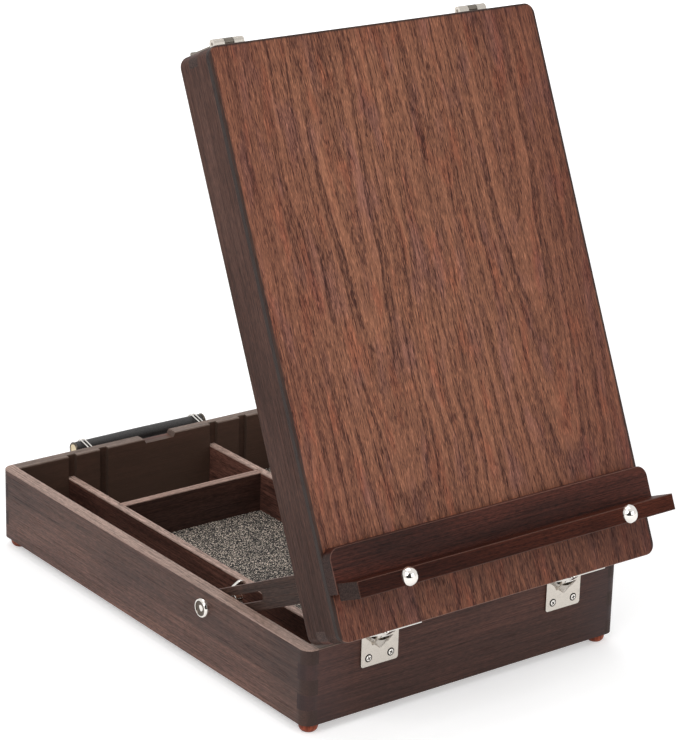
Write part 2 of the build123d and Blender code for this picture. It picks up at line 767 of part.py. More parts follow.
def build_nodes():
    """Every piece of the object by name, in place with the lid open."""
    nodes = {}

    # Fasteners come first, because the pieces that they hold are drilled with them.
    lower_screws = [hinge_screws(x, -1, lower_leaf_height, leaf_thickness) for x in hinge_centres]
    upper_screws = [hinge_screws(x, 1, upper_leaf_height, upper_leaf_thickness) for x in hinge_centres]
    catch_fasteners = [catch_screws(x) for x in latch_centres]
    latch_fasteners = [latch_screws(x) for x in latch_centres]
    bracket_fasteners = [bracket_screws(x) for x in loop_centres]
    bolts = {"left": strut_bolt(), "right": mirrored(strut_bolt())}
    x_ledge_bolt = x_side - ledge_bolt_inset
    ledge_bolts = [ledge_bolt(-x_ledge_bolt), ledge_bolt(x_ledge_bolt)]

    # Box
    left, right, front, rear = wall_frame(z_base, box_wall_height, box_finger_count, True)
    floor_board = bottom_panel()
    nodes["box_left_wall"] = left - floor_board - bolts["left"]
    nodes["box_right_wall"] = right - floor_board - bolts["right"]
    front = drill(front, [floor_board] + divider_grooves() + sum(lower_screws, []))
    rear = drill(rear, [floor_board, finger_notch()] + divider_grooves())
    nodes["box_front_wall"] = front
    nodes["box_rear_wall"] = drill(rear, sum(catch_fasteners + bracket_fasteners, []))
    nodes["box_bottom_panel"] = floor_board
    nodes["box_floor_liner"] = floor_liner()
    nodes["box_feet"] = feet()

    # Dividers
    x_left_divider = -x_side + outer_groove_inset
    x_right_divider = x_side - inner_groove_inset
    nodes["left_divider"] = long_divider(x_left_divider, 1)
    nodes["right_divider"] = long_divider(x_right_divider, -1)
    nodes["cross_divider"] = cross_divider(x_left_divider, x_right_divider)

    # Lid
    lid_left, lid_right, lid_front, lid_rear = wall_frame(z_lid, lid_wall_height, lid_finger_count, False)
    nodes["lid_left_wall"] = opened(lid_left)
    nodes["lid_right_wall"] = opened(lid_right)
    nodes["lid_front_wall"] = opened(drill(lid_front, sum(upper_screws, [])))
    nodes["lid_rear_wall"] = opened(drill(lid_rear, sum(latch_fasteners, [])))
    outline = RectangleRounded(case_width, case_length, corner_radius)
    board = Pos(0, 0, z_lid_panel) * extrude(outline, amount=lid_panel_thickness)
    board = fillet(board.faces().sort_by(Axis.Z)[-1].edges(), edge_round)
    nodes["lid_panel"] = opened(drill(board, ledge_bolts))

    # Ledge
    nodes["ledge_plate"] = opened(drill(ledge_plate(), ledge_bolts))
    nodes["ledge_bar"] = opened(drill(ledge_bar(), ledge_bolts))
    nodes["ledge_bolts"] = [opened(bolt) for bolt in ledge_bolts]
    inserts = [ledge_insert(-x_ledge_bolt), ledge_insert(x_ledge_bolt)]
    nodes["ledge_inserts"] = [opened(insert) for insert in inserts]

    # Hinges
    for side, x_centre, low, high in zip(("left", "right"), hinge_centres, lower_screws, upper_screws):
        outer, middle = knuckle_split(x_centre)
        lower = leaf(x_centre, -1, lower_leaf_height, leaf_thickness, outer)
        upper = leaf(x_centre, 1, upper_leaf_height, upper_leaf_thickness, middle)
        nodes[side + "_hinge_lower_leaf"] = drill(lower, low)
        nodes[side + "_hinge_upper_leaf"] = opened(drill(upper, high))
        nodes[side + "_hinge_pin"] = hinge_pin(x_centre)
    nodes["hinge_lower_screws"] = sum(lower_screws, [])
    nodes["hinge_upper_screws"] = [opened(screw) for screw in sum(upper_screws, [])]

    # Latches
    latches = zip(("left", "right"), latch_centres, catch_fasteners, latch_fasteners)
    for side, x_centre, in_box, in_lid in latches:
        nodes[side + "_catch_plate"] = drill(catch_plate(x_centre), in_box)
        nodes[side + "_latch_plate"] = opened(drill(latch_plate(x_centre), in_lid))
        nodes[side + "_hasp_pin"] = opened(hasp_pin(x_centre))
        nodes[side + "_hasp"] = opened(hasp(x_centre))
    nodes["catch_screws"] = sum(catch_fasteners, [])
    nodes["latch_screws"] = [opened(screw) for screw in sum(latch_fasteners, [])]

    # Struts and clamps
    for side, place in (("left", lambda shape: shape), ("right", mirrored)):
        nodes[side + "_strut"] = place(strut())
        nodes[side + "_strut_pivot_screw"] = place(strut_pivot_screw())
        nodes[side + "_strut_bolt"] = bolts[side]
        nodes[side + "_strut_washer"] = place(strut_washer())
        nodes[side + "_wing_nut"] = place(wing_nut())

    # Handle
    for side, x_centre, in_wall in zip(("left", "right"), loop_centres, bracket_fasteners):
        nodes[side + "_handle_bracket"] = drill(handle_bracket(x_centre), in_wall)
        nodes[side + "_handle_pin"] = handle_pin(x_centre)
        nodes[side + "_handle_loop"] = handle_loop(x_centre)
    nodes["handle_bracket_screws"] = sum(bracket_fasteners, [])
    nodes["handle_grip"] = handle_grip()
    nodes["handle_grip_caps"] = grip_caps()
    return nodes


os.makedirs("parts", exist_ok=True)
for name, shape in build_nodes().items():
    solids = shape if isinstance(shape, list) else shape.solids()
    piece = Compound(children=list(solids)) if len(solids) > 1 else solids[0]
    piece.label = name
    export_step(piece, f"parts/{name}.step")
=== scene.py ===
# %% [markdown]
# # A painter's box whose lid is an easel
# This lesson dresses a small wooden sketching box: a shallow tray on four
# turned feet, a lid that leans back as an easel, a ledge for the canvas, and
# bright metal hardware. The measured pieces come ready in their places, so
# the lesson is about finishes, light and the small forms that a measured
# model leaves plain. Everything is in metres, with Z up and the front at -Y.

from math import atan2, cos, pi, radians, sin

import bpy
from mathutils import Matrix, Vector


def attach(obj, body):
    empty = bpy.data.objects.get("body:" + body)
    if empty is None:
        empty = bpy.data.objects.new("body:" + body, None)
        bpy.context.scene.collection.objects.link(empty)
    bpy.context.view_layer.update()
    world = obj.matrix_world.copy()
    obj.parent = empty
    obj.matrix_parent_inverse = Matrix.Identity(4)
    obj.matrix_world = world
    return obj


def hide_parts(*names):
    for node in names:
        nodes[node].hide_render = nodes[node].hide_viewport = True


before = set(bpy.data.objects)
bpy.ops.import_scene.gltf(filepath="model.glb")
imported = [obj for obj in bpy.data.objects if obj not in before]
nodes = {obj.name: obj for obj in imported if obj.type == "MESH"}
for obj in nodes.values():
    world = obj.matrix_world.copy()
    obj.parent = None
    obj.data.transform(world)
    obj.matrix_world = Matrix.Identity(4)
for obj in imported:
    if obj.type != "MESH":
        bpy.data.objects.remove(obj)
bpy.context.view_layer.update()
mm = 0.001
print("measured pieces:", len(nodes))

# %% [markdown]
# ## Where the moving parts turn
# The lid swings on two hinges at the front and rests 66.1 degrees open. The
# struts hold it there at a slope of their own. Grain has to lean with its
# board, so these angles are needed before any wood is stained.

# %% Lines that the lid and the struts turn about
lid_lean = radians(66.1)
lid_reach = 194.4
hinge_line = Vector((0, -lid_reach, 61.15)) * mm
bolt_x, bolt_y, bolt_z = 132.5, -74.0, 48.1
strut_bolt = Vector((-bolt_x, bolt_y, bolt_z)) * mm
strut_pivot = Vector((-122.7, -190.48, 104.92)) * mm
strut_slope = atan2(strut_bolt.z - strut_pivot.z, strut_bolt.y - strut_pivot.y)
lean_back = Matrix.Rotation(lid_lean, 4, "X")
open_lid = Matrix.Translation(hinge_line) @ lean_back @ Matrix.Translation(-hinge_line)
print("lid leans", round(lid_lean * 180 / pi, 1), "struts slope", round(strut_slope * 180 / pi, 1))

# %% [markdown]
# ## The view
# A product picture is taken from a little above, with a long lens, so that
# the long sides stay nearly parallel. A camera's own matrix has its right,
# its up and its backward direction as columns, and building it from the two
# angles and a small roll is easier to check than turning it by hand.

# %% Camera
def view_matrix(azimuth, elevation, roll, place):
    """The matrix of a camera at a place, that looks back along two angles."""
    back = Vector((sin(azimuth) * cos(elevation), -cos(azimuth) * cos(elevation), sin(elevation)))
    right = (-back).cross(Vector((0, 0, 1))).normalized()
    up = back.cross(right)
    turned_right = cos(roll) * right + sin(roll) * up
    turned_up = cos(roll) * up - sin(roll) * right
    columns = Matrix((turned_right, turned_up, back)).transposed().to_4x4()
    return Matrix.Translation(place) @ columns


view_azimuth, view_elevation, view_roll = radians(-37.339), radians(19.457), radians(1.611)
view_place = Vector((-1080.66, -1458.41, 809.83)) * mm
camera_data = bpy.data.cameras.new("view")
camera_data.sensor_fit = "VERTICAL"
camera_data.sensor_height = 36
camera_data.lens = 134.43
camera_data.clip_end = 20
camera = bpy.data.objects.new("view", camera_data)
bpy.context.scene.collection.objects.link(camera)
camera.matrix_world = view_matrix(view_azimuth, view_elevation, view_roll, view_place)
bpy.context.scene.camera = camera
print("camera stands at", [round(v, 3) for v in camera.matrix_world.translation])

# %% [markdown]
# ## Writing a finish as a sum
# A finish is a graph of nodes, which is slow to read as code. The class
# below wraps one socket so that a + b, 1 - a and a * 0.5 write the Math
# nodes, and one method adds every other kind of node: its settings go in
# first, then the values or links of its inputs.

# %% A small language for finishes
class Signal:
    """One output of a node, so that sums of signals become Math nodes."""

    def __init__(self, finish, socket):
        self.finish = finish
        self.socket = socket

    def math(self, operation, first, second):
        return self.finish.node("Math", {"operation": operation}, {0: first, 1: second})

    def __add__(self, other):
        return self.math("ADD", self, other)

    def __radd__(self, other):
        return self.math("ADD", other, self)

    def __sub__(self, other):
        return self.math("SUBTRACT", self, other)

    def __rsub__(self, other):
        return self.math("SUBTRACT", other, self)

    def __mul__(self, other):
        return self.math("MULTIPLY", self, other)

    def __rmul__(self, other):
        return self.math("MULTIPLY", other, self)

    def __truediv__(self, other):
        return self.math("DIVIDE", self, other)

    def __rtruediv__(self, other):
        return self.math("DIVIDE", other, self)

    def __pow__(self, other):
        return self.math("POWER", self, other)

    def __neg__(self):
        return self.math("MULTIPLY", self, -1)


class Finish:
    """A material under construction."""

    def __init__(self, name, owner=None):
        self.owner = owner or bpy.data.materials.new(name)
        self.owner.use_nodes = True
        self.tree = self.owner.node_tree
        self.tree.nodes.clear()

    def node(self, kind, settings=None, inputs=None, output=0):
        """Adds a node: settings first, a ramp's stops among them, then its inputs."""
        made = self.tree.nodes.new("ShaderNode" + kind)
        for key, value in (settings or {}).items():
            if key == "stops":
                self.set_stops(made.color_ramp, value)
            else:
                setattr(made, key, value)
        for key, value in (inputs or {}).items():
            self.feed(made.inputs[key], value)
        return Signal(self, made.outputs[output])

    def feed(self, socket, value):
        if isinstance(value, Signal):
            self.tree.links.new(value.socket, socket)
        elif socket.type == "RGBA" and len(value) == 3:
            socket.default_value = (*value, 1)
        else:
            socket.default_value = value

    def set_stops(self, ramp, stops):
        while len(ramp.elements) < len(stops):
            ramp.elements.new(0.5)
        for element, (place, colour) in zip(ramp.elements, stops):
            element.position = place
            if isinstance(colour, (int, float)):
                colour = (colour, colour, colour)
            element.color = (*colour, 1)

    def surface(self, shader):
        """Ends the graph, with a shader as what the eye sees."""
        output = self.tree.nodes.new("ShaderNodeOutputMaterial")
        self.tree.links.new(shader.socket, output.inputs["Surface"])
        return self.owner


def paint(red, green, blue):
    """A colour as a screen shows it, 0 to 255, turned into light."""
    linear = []
    for value in (red, green, blue):
        value = value / 255
        linear.append(value / 12.92 if value < 0.04045 else ((value + 0.055) / 1.055) ** 2.4)
    return tuple(linear)


# %% [markdown]
# ## Shorter names for the usual steps
# Wood, metal and leather all ask for the same few things: a stretched noise,
# a soft threshold, a blend of two colours and a bump. Each gets a short
# name here, written with the one method above.

# %% Usual steps of a finish
def stretched(finish, place, scales):
    """The same place, with its three directions counted at other rates."""
    return finish.node("VectorMath", {"operation": "MULTIPLY"}, {0: place, 1: scales})


def shifted(finish, place, offset):
    return finish.node("VectorMath", {"operation": "ADD"}, {0: place, 1: offset})


def noise(finish, place, detail=2.0, roughness=0.5):
    inputs = {"Vector": place, "Scale": 1.0, "Detail": detail, "Roughness": roughness}
    return finish.node("TexNoise", {}, inputs)


def between(finish, value, low, high, to_low=0.0, to_high=1.0):
    """A soft step: to_low below low, to_high above high."""
    inputs = {"Value": value, "From Min": low, "From Max": high}
    inputs.update({"To Min": to_low, "To Max": to_high})
    return finish.node("MapRange", {"interpolation_type": "SMOOTHSTEP"}, inputs)


def blend(finish, factor, first, second, kind="MIX"):
    """A colour between two colours."""
    settings = {"data_type": "RGBA", "blend_type": kind}
    return finish.node("Mix", settings, {0: factor, 6: first, 7: second}, output=2)


def axis(finish, place, which):
    return finish.node("SeparateXYZ", {}, {0: place}, output="XYZ".index(which))


def here(finish, kind="Object"):
    """Where on the piece the surface is, or with another kind, how it faces."""
    return finish.node("TexCoord", {}, {}, output=kind)


def dot(finish, first, second):
    return finish.node("VectorMath", {"operation": "DOT_PRODUCT"}, {0: first, 1: second}, output="Value")


def size_of(finish, value):
    """A value without its sign."""
    return finish.node("Math", {"operation": "ABSOLUTE"}, {0: value})


def larger(finish, first, second):
    return finish.node("Math", {"operation": "MAXIMUM"}, {0: first, 1: second})


def bumped(finish, height, strength, distance):
    inputs = {"Height": height, "Strength": strength, "Distance": distance}
    return finish.node("Bump", {}, inputs)


def principled(finish, inputs):
    return finish.node("BsdfPrincipled", {}, inputs)


def wear(names, material):
    """Gives measured pieces one material."""
    for name in names:
        data = nodes[name].data
        data.materials.clear()
        data.materials.append(material)
    print(material.name, "on", ", ".join(names))


# %% [markdown]
# ## Grain runs along its board
# Stained wood is streaks and pores drawn out along the board. The grain is
# therefore worked out in a space of its own: millimetres, with X along the
# board. For the lid and the struts that space leans with them. A Mapping
# node does both in one step, because it can scale, turn and shift.

# %% Space of the grain
def grain_space(finish, board_turn=None, origin=Vector((0, 0, 0)), seed=(0, 0, 0)):
    """Object coordinates in millimetres, X along the grain, Z across the face of a lid board."""
    turn = board_turn or Matrix.Identity(3)
    shift = -(turn @ (origin * 1000)) + Vector(seed)
    coordinates = here(finish)
    inputs = {"Vector": coordinates, "Location": shift, "Rotation": turn.to_euler("XYZ"),
              "Scale": (1000, 1000, 1000)}
    return finish.node("Mapping", {"vector_type": "POINT"}, inputs)


def arris_wear_and_highlight(finish, up=Vector((0, 0, 1))):
    """1 on a rounded edge between a face that looks up or down a board and one that stands."""
    normal = here(finish, "Normal")
    rise = dot(finish, normal, up)
    level = (1 - rise * rise) ** 0.5
    return between(finish, size_of(finish, rise) * level * 2, 0.6, 0.97)


def end_grain(finish, along):
    """1 where the surface cuts across the grain, 0 where it runs with it."""
    normal = here(finish, "Normal")
    facing = dot(finish, normal, along)
    return between(finish, facing * facing, 0.45, 0.8)


along_x = Matrix.Identity(3)
along_y = Matrix.Rotation(-pi / 2, 3, "Z")
lid_along_x = Matrix.Rotation(-lid_lean, 3, "X")
lid_along_y = along_y @ lid_along_x
strut_along = along_y @ Matrix.Rotation(-strut_slope, 3, "X")


# %% [markdown]
# ## Stained case wood
# The walls are a fine-grained hardwood under a dark brown stain. Stain
# gathers in the pores and wears thin along the arrises, and a satin lacquer
# lies over it. Painted light and shade is laid on as well: a highlight along
# the arrises, a paler top on the rims, another tone on the inner faces,
# darker corners and a tone that changes with height. Six noises, drawn out
# along the board by different amounts, give the drift of tone, the streaks,
# the fine lines, the grain, the pores and the pale flecks.

# %% Stained wood
def stained_wood(name, tone, turn, origin=Vector((0, 0, 0)), seed=(0, 0, 0), warm=None,
                 pore_depth=0.25, fleck=0.3, streaks=0.7, rough=0.46, end_tone=None, gloss=0.2,
                 arris_wear_and_highlight_tone=None, up=Vector((0, 0, 1)), rim_level=None, rim_light_tone=None, inside=None,
                 painted_inside_tone=None, corner_shade_tone=None, corner_out=None, painted_light_by_height=None):
    """A stained board. The tone is its middle colour, and warm is where the stain lies thin.
    Its rounded edges have the arris tone, partly worn stain and partly a painted highlight,
    above the rim level it has the rim tone, a painted light, and within the inside, half a width
    and half a length, it has the inside tone, or by default a darker one: painted light and shade
    on the inner faces. Towards the corners the tone goes to the corner tone, a painted shade, at
    both ends of the board or only on the hinge side, as corner out says. Heights gives two levels
    and the gain at each, a painted light and shade that changes with height."""
    finish = Finish(name)
    place = grain_space(finish, turn, origin, seed)
    warm = warm or tuple(channel * gain for channel, gain in zip(tone, (1.35, 1.2, 1.1)))
    drift = noise(finish, stretched(finish, place, (0.008, 0.045, 0.045)), 2.0, 0.55)
    streak = noise(finish, stretched(finish, place, (0.009, 0.5, 0.5)), 4.0, 0.65)
    line = noise(finish, stretched(finish, place, (0.01, 0.85, 0.85)), 1.0, 0.5)
    fine = noise(finish, stretched(finish, place, (0.22, 1.3, 1.3)), 2.0, 0.6)
    dash = noise(finish, stretched(finish, place, (0.045, 1.5, 1.5)), 1.0, 0.4)
    pale_place = shifted(finish, stretched(finish, place, (0.05, 1.9, 1.9)), (31.7, 12.3, 5.1))
    pale_dash = noise(finish, pale_place, 1.0, 0.4)
    pores = between(finish, dash, 0.5, 0.75)
    pale = between(finish, pale_dash, 0.52, 0.74)
    thin = between(finish, drift * 0.75 + streak * 0.25, 0.36, 0.66)
    colour = blend(finish, thin, tone, warm)
    shade = 1 + (streak - 0.5) * (streaks * 0.5) + (line - 0.5) * (streaks * 1.5)
    shade = (shade + (fine - 0.5) * (streaks * 2.6)) * (1 - pores * pore_depth) * (1 + pale * fleck)
    spot = here(finish)
    # Painted light and shade: the tone is made lighter or darker from one height to the other.
    if painted_light_by_height:
        low, high, gain_low, gain_high = painted_light_by_height
        shade = shade * between(finish, axis(finish, spot, "Z") * 1000, low, high, gain_low, gain_high)
    cut = end_grain(finish, turn.transposed() @ Vector((1, 0, 0)))
    rings = noise(finish, stretched(finish, place, (0.05, 0.9, 0.35)), 3.0, 0.6)
    specks = noise(finish, stretched(finish, place, (1.1, 1.1, 1.1)), 2.0, 0.6)
    end_shade = 0.86 + (rings - 0.5) * 0.9 + (specks - 0.5) * 2.2
    shade = shade * (1 - cut) + end_shade * cut
    grey = finish.node("CombineXYZ", {}, {0: shade, 1: shade, 2: shade})
    colour = blend(finish, 1.0, colour, grey, "MULTIPLY")
    if end_tone:
        colour = blend(finish, cut * 0.7, colour, blend(finish, 1.0, end_tone, grey, "MULTIPLY"))
    if inside:
        x_out = size_of(finish, axis(finish, spot, "X") * 1000 / inside[0])
        # Painted shade: darker towards the corners.
        if corner_shade_tone:
            reach = x_out if corner_out == "both" else axis(finish, spot, "Y") * -1000 / inside[1]
            corner_shade = between(finish, reach, 0.7, 0.98) * 0.5 + between(finish, reach, 0.99, 1.015) * 0.3
            colour = blend(finish, corner_shade, colour, corner_shade_tone)
        y_out = size_of(finish, axis(finish, spot, "Y") * 1000 / inside[1])
        # Painted light and shade on the inner faces of the hollow: they take the inside tone.
        painted_inside = between(finish, larger(finish, x_out, y_out), 1.03, 1.02)
        inside_colour = painted_inside_tone or tuple(channel * 0.12 for channel in tone)
        colour = blend(finish, painted_inside * (0.75 if painted_inside_tone else 0.45), colour, inside_colour)
    # Painted light: the top of the rim is paler, as light and sheen make it.
    if rim_level:
        height_now = axis(finish, spot, "Z") * 1000
        on_top = between(finish, height_now, rim_level - 0.5, rim_level)
        painted_top_light = blend(finish, 1.0, rim_light_tone, grey, "MULTIPLY")
        colour = blend(finish, on_top, colour, painted_top_light)
    # The rounded edges are paler: partly worn stain, partly a painted highlight.
    if arris_wear_and_highlight_tone:
        arris_mark = arris_wear_and_highlight(finish, up) * between(finish, drift + streak, 0.7, 1.15, 0.45, 1.0)
        colour = blend(finish, arris_mark, colour, arris_wear_and_highlight_tone)
    height = fine * 0.4 + streak * 0.25 - pores * 0.6
    normal = bumped(finish, height, 0.35, 0.00018)
    roughness = rough + (fine - 0.5) * 0.16 + pores * 0.18 + cut * 0.15
    inputs = {"Base Color": colour, "Roughness": roughness, "Normal": normal, "Specular IOR Level": gloss}
    return finish.surface(principled(finish, inputs))


lid_up = lean_back.to_3x3() @ Vector((0, 0, 1))
# The pale arris is partly worn stain and partly a painted highlight.
pale_arris_wear_and_highlight = paint(150, 126, 116)
# The rim tone is painted light on the tops of the rims.
rim_light_tone = paint(166, 140, 128)
hollow = (123.2, 180.7)
end_tone = paint(66, 54, 50)
case_rim, divider_rim = 60.4, 42.9
case_foot, case_head = 6, 58
# Painted light and shade on the case: the long walls are lighter towards the foot and darker towards the
# front corners, the cross walls darker towards the foot and at both corners, and both take another tone on
# their inner faces.
case_long = stained_wood("case_wood_long", paint(70, 49, 43), along_y, warm=paint(91, 65, 56),
                         end_tone=end_tone, arris_wear_and_highlight_tone=pale_arris_wear_and_highlight, rim_level=case_rim, rim_light_tone=rim_light_tone,
                         inside=hollow, corner_shade_tone=paint(56, 42, 38), corner_out="hinge side",
                         painted_light_by_height=(case_foot, case_head, 1.45, 0.86))
case_cross = stained_wood("case_wood_cross", paint(64, 39, 32), along_x, warm=paint(86, 54, 45),
                          seed=(40, 0, 0), end_tone=end_tone, arris_wear_and_highlight_tone=paint(104, 88, 80),
                          rim_level=case_rim, rim_light_tone=paint(104, 88, 79), inside=hollow,
                          painted_inside_tone=paint(78, 61, 51), corner_shade_tone=paint(56, 43, 43), corner_out="both",
                          painted_light_by_height=(case_foot, case_head, 0.68, 1.2))
wear(["box_left_wall", "box_right_wall"], case_long)
wear(["box_front_wall", "box_rear_wall"], case_cross)
# Painted shade: the lid's long walls are darker towards the hinge.
lid_long = stained_wood("lid_wood_long", paint(66, 44, 37), lid_along_y, hinge_line, (300, 50, 0),
                        paint(84, 59, 51), end_tone=end_tone, arris_wear_and_highlight_tone=pale_arris_wear_and_highlight, up=lid_up,
                        painted_light_by_height=(80, 380, 0.7, 1.04), gloss=0.09)
lid_cross = stained_wood("lid_wood_cross", paint(62, 40, 34), lid_along_x, hinge_line, (90, 250, 0),
                         paint(82, 53, 45), end_tone=end_tone, arris_wear_and_highlight_tone=pale_arris_wear_and_highlight, up=lid_up)
wear(["lid_left_wall", "lid_right_wall"], lid_long)
wear(["lid_front_wall", "lid_rear_wall"], lid_cross)
# The dividers' rim tones are painted light on their tops.
divider_long = stained_wood("divider_wood_long", paint(66, 42, 36), along_y, seed=(70, 9, 3),
                            warm=paint(100, 66, 56), streaks=1.0, arris_wear_and_highlight_tone=pale_arris_wear_and_highlight,
                            rim_level=divider_rim, rim_light_tone=rim_light_tone)
divider_cross = stained_wood("divider_wood_cross", paint(56, 38, 33), along_x, seed=(20, 5, 8),
                             arris_wear_and_highlight_tone=pale_arris_wear_and_highlight, rim_level=divider_rim,
                             rim_light_tone=paint(150, 122, 110))
wear(["left_divider", "right_divider"], divider_long)
wear(["cross_divider"], divider_cross)
board_under = stained_wood("bottom_board_wood", paint(92, 66, 54), along_y, seed=(10, 70, 0))
wear(["box_bottom_panel"], board_under)
# The arris tones of the ledge are partly worn stain and partly a painted highlight.
ledge_wood = stained_wood("ledge_wood", paint(42, 20, 15), lid_along_x, hinge_line, (11, 33, 5),
                          warm=paint(68, 34, 26), end_tone=paint(58, 48, 45), streaks=0.9,
                          arris_wear_and_highlight_tone=paint(96, 68, 60), up=lid_up, gloss=0.12)
bar_wood = stained_wood("ledge_bar_wood", paint(42, 18, 12), lid_along_x, hinge_line, (61, 13, 9),
                        warm=paint(64, 30, 20), end_tone=paint(62, 52, 49), streaks=0.9,
                        arris_wear_and_highlight_tone=paint(84, 60, 52), up=lid_up, gloss=0.06)
wear(["ledge_plate"], ledge_wood)
wear(["ledge_bar"], bar_wood)
# The strut's pale arris tone is partly worn stain and partly a painted highlight.
strut_wood = stained_wood("strut_wood", paint(54, 40, 35), strut_along, strut_pivot, (5, 5, 5),
                          warm=paint(74, 52, 44), arris_wear_and_highlight_tone=paint(170, 140, 130), gloss=0.1)
wear(["left_strut", "right_strut"], strut_wood)

# %% [markdown]
# ## The board's veneer
# The board that carries the canvas is faced with an open-grained veneer cut
# flat from the log, laid as two matching leaves. Such a cut meets the growth
# rings at a slant, which draws nested V shapes. Rings are circles about the
# heart of the log, so the distance from a slanting line gives them, and a
# ramp over that distance places the pale and the dark rings. Painted shade
# darkens the board towards its edges, on one side and in a strip at its lower
# end, and lays a dark line round its three free edges; a painted highlight
# lies along its rounded edges.

# %% Figured veneer
board_half_width, board_half_length = 132.5, 190.7


def figured_veneer():
    finish = Finish("figured_veneer")
    place = grain_space(finish, lid_along_y, hinge_line)
    along = axis(finish, place, "X") - lid_reach
    across = axis(finish, place, "Y")
    sway = noise(finish, stretched(finish, place, (0.012, 0.02, 0.02)), 2.0, 0.5)
    ripple = noise(finish, stretched(finish, place, (0.03, 0.25, 0.25)), 2.0, 0.5)
    leaf = finish.node("Math", {"operation": "WRAP"}, {0: -across + (sway - 0.5) * 14, 1: 14.2, 2: -119.1})
    from_heart = leaf + 52.5
    depth = 14.3 - along * 0.103 + (sway - 0.5) * 5
    ring = (from_heart * from_heart + depth * depth) ** 0.5 + (ripple - 0.5) * 3.2
    stops = [(0.0, 0.44), (0.15, 0.46), (0.195, 0.7), (0.235, 0.6), (0.258, 0.22), (0.275, 0.44),
             (0.3, 0.36), (0.335, 0.58), (0.375, 0.6), (0.397, 0.22), (0.412, 0.5), (0.55, 0.5), (1.0, 0.5)]
    placed_rings = finish.node("ValToRGB", {"stops": stops}, {0: ring / 70})
    ring_place = finish.node("CombineXYZ", {}, {0: ring * 0.30, 1: along * 0.006, 2: 0.0})
    free_rings = noise(finish, ring_place, 3.0, 0.6)
    outer = between(finish, ring, 26, 36)
    ring_tone = placed_rings * (1 - outer * 0.8) + free_rings * (0.5 + outer * 0.9) - 0.25 - outer * 0.05
    cloud = noise(finish, stretched(finish, place, (0.012, 0.03, 0.03)), 3.0, 0.55)
    streak = noise(finish, stretched(finish, place, (0.03, 0.55, 0.55)), 3.0, 0.6)
    line_place = finish.node("CombineXYZ", {}, {0: ring * 0.62, 1: along * 0.008, 2: 3.0})
    lines = noise(finish, line_place, 2.0, 0.6)
    fine = noise(finish, stretched(finish, place, (0.13, 1.5, 1.5)), 2.0, 0.65)
    dash = noise(finish, stretched(finish, place, (0.2, 1.6, 1.6)), 1.0, 0.4)
    pale_place = shifted(finish, stretched(finish, place, (0.24, 1.7, 1.7)), (17.3, 41.9, 3.3))
    pale_dash = noise(finish, pale_place, 1.0, 0.4)
    crowd = between(finish, ring_tone * 0.6 + lines * 0.4, 0.55, 0.3)
    pores = between(finish, dash + crowd * 0.06, 0.54, 0.68)
    pale = between(finish, pale_dash - crowd * 0.03, 0.56, 0.7)
    # Painted shade: darker towards the edges, on one side and in the strip at the lower end, under the ledge.
    edge_x = between(finish, size_of(finish, across), 62, 133)
    edge_y = between(finish, along, 160, 191)
    edge = edge_x * 0.24 + edge_y * 0.15 + between(finish, across, 10, -125) * 0.1
    edge = edge + between(finish, along, -20, -170) * 0.12 + between(finish, along, -140, -170) * 0.14
    tone = 0.43 + (streak - 0.5) * 0.6 + (fine - 0.5) * 1.35 + (ring_tone - 0.5) * 0.9
    tone = tone + (lines - 0.5) * 0.9 + (cloud - 0.5) * 0.3 - pores * 0.26 + pale * 0.44
    colour = blend(finish, tone * (1 - edge), paint(54, 22, 13), paint(160, 106, 79))
    colour = blend(finish, edge * 1.4, colour, (1.06, 0.9, 0.92), "MULTIPLY")
    plum = between(finish, noise(finish, stretched(finish, place, (0.02, 0.06, 0.06)), 2.0, 0.5), 0.5, 0.72)
    colour = blend(finish, plum * 0.8, colour, (0.92, 0.94, 1.25), "MULTIPLY")
    mottle_place = shifted(finish, stretched(finish, place, (0.025, 0.09, 0.09)), (9.0, 4.0, 1.0))
    red_part = between(finish, noise(finish, mottle_place, 2.0, 0.5), 0.52, 0.7)
    colour = blend(finish, red_part * 0.8, colour, (1.08, 0.88, 0.84), "MULTIPLY")
    height = fine * 0.4 + streak * 0.3 - pores * 0.8
    normal = bumped(finish, height, 0.4, 0.0002)
    roughness = 0.44 + (fine - 0.5) * 0.2 + pores * 0.2
    normal_now = here(finish, "Normal")
    rise = dot(finish, normal_now, lid_up)
    side_shade = between(finish, rise * rise, 0.5, 0.2)
    side_tone = blend(finish, streak, paint(44, 28, 23), paint(84, 58, 49))
    colour = blend(finish, side_shade, colour, side_tone)
    # Painted highlight along the board's rounded edges.
    colour = blend(finish, arris_wear_and_highlight(finish, lid_up) * 0.45, colour, paint(150, 120, 106))
    # Painted shade: a dark line round the three free edges.
    outermost = larger(finish, size_of(finish, across) - board_half_width, along - board_half_length)
    colour = blend(finish, between(finish, outermost, -2.8, -1.5) * 0.85, colour, paint(34, 24, 21))
    inputs = {"Base Color": colour, "Roughness": roughness, "Normal": normal, "Specular IOR Level": 0.2}
    return finish.surface(principled(finish, inputs))


wear(["lid_panel"], figured_veneer())

# %% [markdown]
# ## The speckled floor mat
# The floor is lined with a thin, dark grey mat whose flecks catch the light.
# Cells of a Voronoi texture give each grain its own brightness, and a soft
# threshold keeps most of them dark and a few bright.

# %% Floor mat
def speckled_mat():
    finish = Finish("speckled_mat")
    coordinates = here(finish)
    inputs = {"Vector": coordinates, "Scale": 1750.0}
    cells = finish.node("TexVoronoi", {"feature": "F1"}, inputs, output="Color")
    grain = axis(finish, cells, "X")
    spread = noise(finish, stretched(finish, coordinates, (60, 60, 60)), 3.0, 0.6)
    bright = between(finish, grain + (spread - 0.5) * 0.2, 0.68, 0.96)
    colour = blend(finish, bright, paint(28, 25, 24), paint(240, 224, 206))
    normal = bumped(finish, grain, 0.6, 0.0004)
    shader = principled(finish, {"Base Color": colour, "Roughness": 0.85 - bright * 0.25, "Normal": normal})
    return finish.surface(shader)


wear(["box_floor_liner"], speckled_mat())

